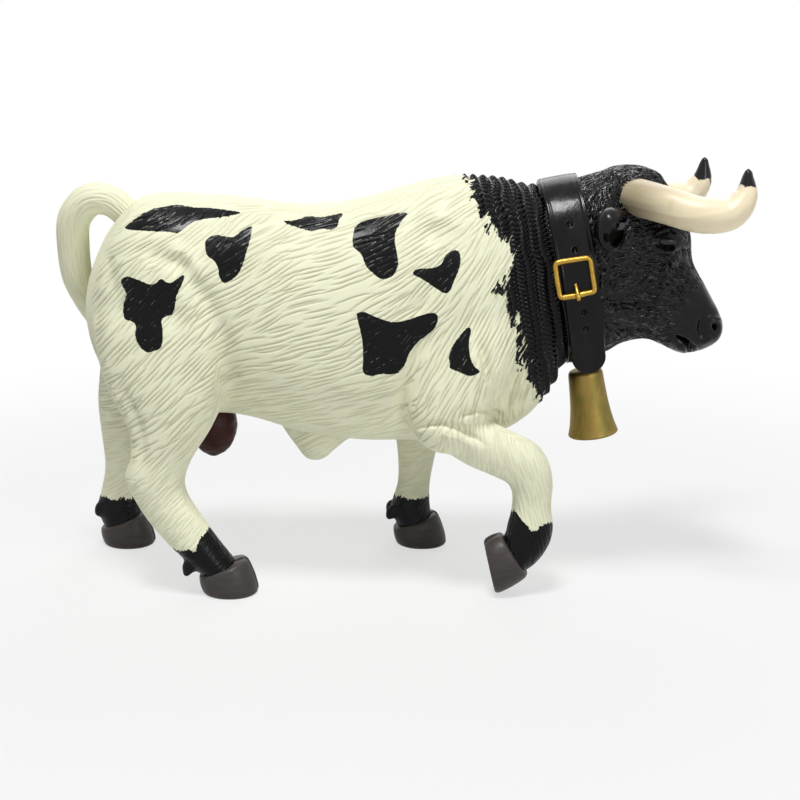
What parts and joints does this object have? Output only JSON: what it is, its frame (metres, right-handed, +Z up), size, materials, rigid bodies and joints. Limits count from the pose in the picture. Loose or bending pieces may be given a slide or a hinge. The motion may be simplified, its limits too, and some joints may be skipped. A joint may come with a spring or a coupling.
{
  "type": "bull figurine",
  "caption": "Collectable moulded figure of a walking piebald bull with forward-swept horns, a buckled collar and a hanging bell.",
  "frame": {"origin": "on the ground, under the middle of the figure's box", "axes": "+X forward along the bull's walk (towards the head), +Y to the bull's left, +Z up"},
  "size_m": [0.1661, 0.0544, 0.1036],
  "materials": {
    "hide": "satin, cream with painted black patches, socks and grey hooves",
    "black_coat": "satin black",
    "horn": "ivory, black tips",
    "brown_skin": "satin dark brown",
    "strap": "gloss black",
    "gold_trim": "gold",
    "bell_brass": "satin, lightly stained"
  },
  "bodies": {
    "figure": {"right_body_half": "hide", "left_body_half": "hide", "head": "black_coat", "right_horn": "horn", "left_horn": "horn", "right_ear": "black_coat", "left_ear": "black_coat", "tail": "hide", "scrotum": "brown_skin", "collar_strap": "strap", "buckle_frame": "gold_trim", "buckle_prong": "gold_trim", "hanger_loop": "strap"},
    "bell": {"bell_shell": "bell_brass", "bell_bail": "bell_brass", "clapper_pin": "bell_brass"},
    "clapper": {"clapper": "bell_brass"}
  },
  "joints": [
    {"name": "bell_swing", "type": "hinge", "parent": "figure", "child": "bell", "pos_m": [0.04811, 0, 0.05366], "axis": [0, -1, 0], "range_deg": [-10, 25]},
    {"name": "clapper_swing", "type": "hinge", "parent": "bell", "child": "clapper", "pos_m": [0.04882, 0, 0.04916], "axis": [0, -1, 0], "range_deg": [-5, 22]}
  ]
}
